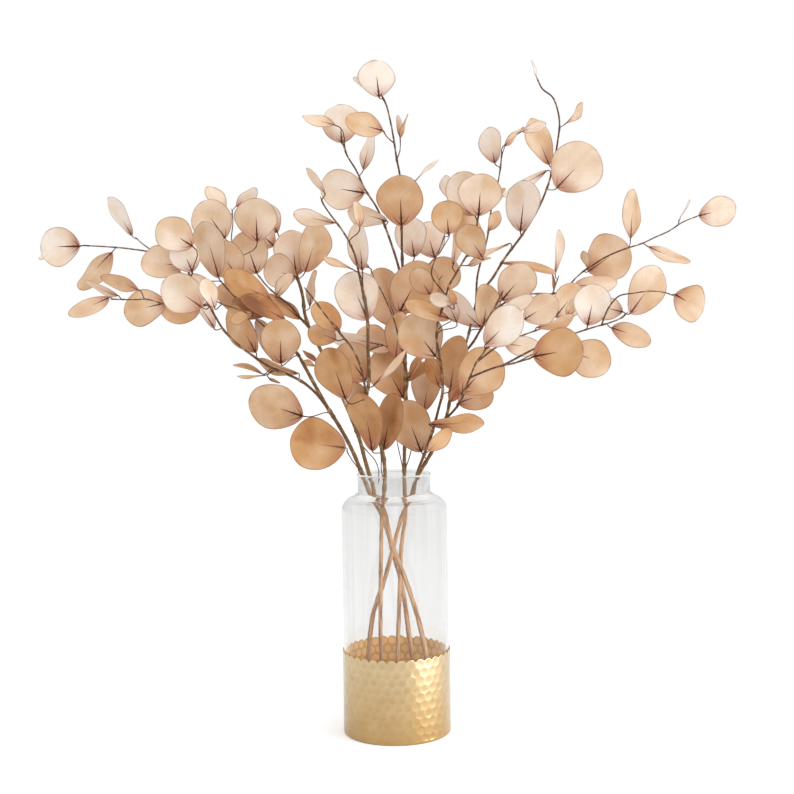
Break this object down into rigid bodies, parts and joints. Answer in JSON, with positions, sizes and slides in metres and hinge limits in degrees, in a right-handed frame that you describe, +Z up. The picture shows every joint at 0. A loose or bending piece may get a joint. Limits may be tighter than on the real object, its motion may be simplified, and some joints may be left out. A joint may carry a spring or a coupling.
{
  "type": "dried eucalyptus in a glass vase",
  "caption": "Dried eucalyptus stems with round leaves, fanned out of a clear glass bottle vase whose lower third sits in a thin gold honeycomb cup.",
  "frame": {"origin": "middle of the gold cup's flat underside, on the vase's axis", "axes": "+Z up along the vase's axis, +X to the right and -Y towards the viewer of the picture"},
  "size_m": [0.8207, 0.3552, 0.789],
  "materials": {
    "clear_glass": "gloss",
    "hammered_gold": "satin",
    "dried_leaf": "matte"
  },
  "bodies": {
    "root": {"glass_vase": "clear_glass", "gold_honeycomb_cup": "hammered_gold", "leafy_stem_far_left": "dried_leaf", "leafy_stem_left": "dried_leaf", "leafy_stem_centre": "dried_leaf", "leafy_stem_top": "dried_leaf", "leafy_stem_right": "dried_leaf"}
  },
  "joints": []
}
